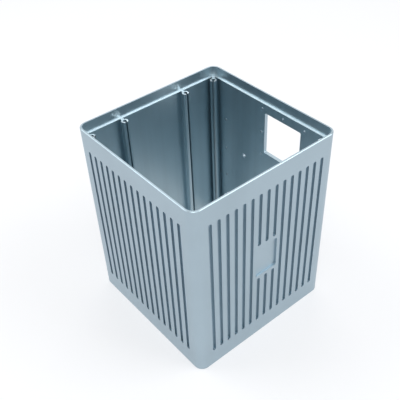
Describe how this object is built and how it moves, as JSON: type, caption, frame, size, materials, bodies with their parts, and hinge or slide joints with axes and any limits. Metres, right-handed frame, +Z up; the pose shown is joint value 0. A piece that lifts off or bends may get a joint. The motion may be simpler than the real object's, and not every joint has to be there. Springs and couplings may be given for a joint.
{
  "type": "extruded aluminium enclosure",
  "caption": "Square upright aluminium extrusion, open at both ends, with grooved faces, a recessed cover seat, inner screw ports and a window: the body of an electronics enclosure.",
  "frame": {"origin": "centre of the foot, on the surface that the enclosure stands on", "axes": "+Z up along the extrusion, -Y out of the front face with the pocket, +X out of the side with the window"},
  "size_m": [0.18, 0.18, 0.22],
  "materials": {
    "anodised_aluminium": "bead-blasted and clear anodised, satin, with milled ends and seat"
  },
  "bodies": {
    "root": {"housing": "anodised_aluminium"}
  },
  "joints": []
}
